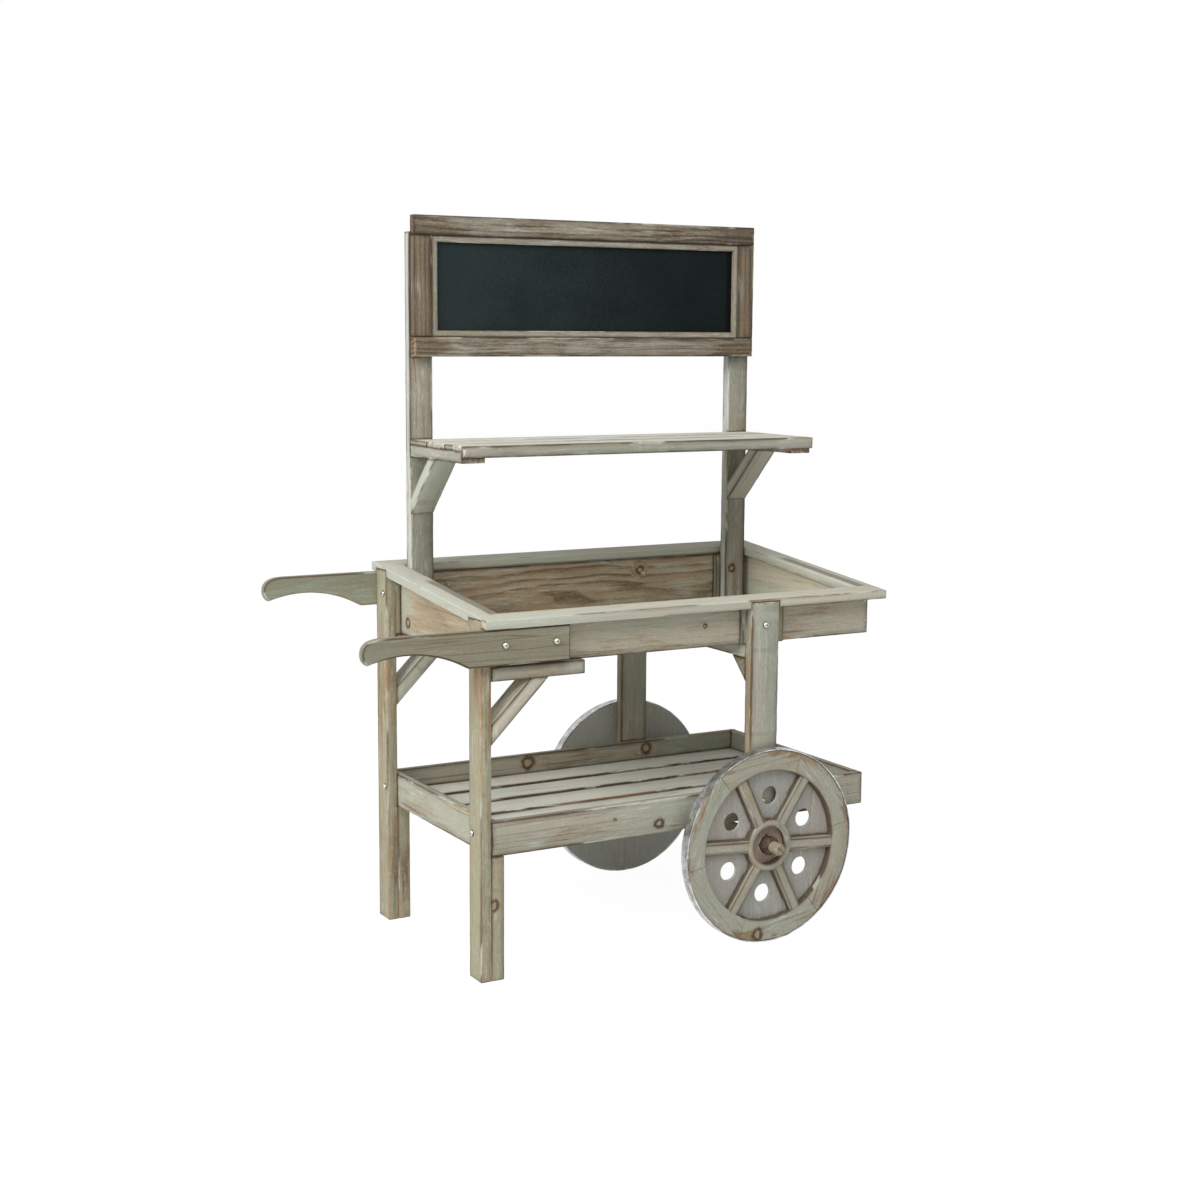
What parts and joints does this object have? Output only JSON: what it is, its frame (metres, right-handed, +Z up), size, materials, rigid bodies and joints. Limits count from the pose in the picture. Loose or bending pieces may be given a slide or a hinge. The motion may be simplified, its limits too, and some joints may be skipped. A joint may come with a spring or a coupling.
{
  "type": "garden cart",
  "caption": "Weathered wooden flower cart with spoked wheels, shaped handles, a deep rimmed tray, a slatted lower tray, and posts carrying a shelf and a framed writing panel.",
  "frame": {"origin": "on the floor, under the middle of the cart's overall box", "axes": "+Z up, +X from the handles to the wheels, +Y from the open front to the writing panel"},
  "size_m": [1.0407, 0.595, 1.295],
  "materials": {
    "weathered_wood": "thin grey-green wash",
    "turned_wood": "stained, worn",
    "writing_surface": "matt black paint",
    "hoop_steel": "galvanised",
    "bolt_steel": "yellow zinc"
  },
  "bodies": {
    "cart": {"axle": "turned_wood", "back_handle": "weathered_wood", "back_hub_nut": "turned_wood", "back_left_bearer": "weathered_wood", "back_left_brace": "weathered_wood", "back_left_leg": "weathered_wood", "back_left_leg_doubler": "weathered_wood", "back_right_leg": "weathered_wood", "board_bead": "weathered_wood", "board_bottom_rail": "weathered_wood", "board_left_stile": "weathered_wood", "board_right_stile": "weathered_wood", "board_top_rail": "weathered_wood", "bolt_nuts": "bolt_steel", "carriage_bolts": "bolt_steel", "chalk_panel": "writing_surface", "corner_blocks": "weathered_wood", "cross_bearer": "weathered_wood", "front_handle": "weathered_wood", "front_hub_nut": "turned_wood", "front_left_bearer": "weathered_wood", "front_left_brace": "weathered_wood", "front_left_leg": "weathered_wood", "front_left_leg_doubler": "weathered_wood", "front_right_leg": "weathered_wood", "handle_packers": "weathered_wood", "left_post": "weathered_wood", "left_shelf_arm": "weathered_wood", "left_shelf_brace": "weathered_wood", "leg_packers": "weathered_wood", "lower_back_board": "weathered_wood", "lower_front_board": "weathered_wood", "lower_left_end": "weathered_wood", "lower_right_end": "weathered_wood", "lower_slats": "weathered_wood", "post_packers": "weathered_wood", "right_post": "weathered_wood", "right_shelf_arm": "weathered_wood", "right_shelf_brace": "weathered_wood", "rim_back": "weathered_wood", "rim_front": "weathered_wood", "rim_left": "weathered_wood", "rim_right": "weathered_wood", "shelf_fascia": "weathered_wood", "shelf_slats": "weathered_wood", "tray_back_board": "weathered_wood", "tray_floor_boards": "weathered_wood", "tray_front_board": "weathered_wood", "tray_left_end": "weathered_wood", "tray_right_end": "weathered_wood"},
    "front_wheel": {"front_wheel_disc": "weathered_wood", "front_wheel_felloes": "weathered_wood", "front_wheel_hoop": "hoop_steel", "front_wheel_hub_ring": "weathered_wood", "front_wheel_spokes": "weathered_wood"},
    "back_wheel": {"back_wheel_disc": "weathered_wood", "back_wheel_felloes": "weathered_wood", "back_wheel_hoop": "hoop_steel", "back_wheel_hub_ring": "weathered_wood", "back_wheel_spokes": "weathered_wood"}
  },
  "joints": [
    {"name": "front_wheel_spin", "type": "hinge", "parent": "cart", "child": "front_wheel", "pos_m": [0.25075, -0.249, 0.1775], "axis": [0, 1, 0], "continuous": true},
    {"name": "back_wheel_spin", "type": "hinge", "parent": "cart", "child": "back_wheel", "pos_m": [0.25075, 0.249, 0.1775], "axis": [0, 1, 0], "continuous": true}
  ]
}
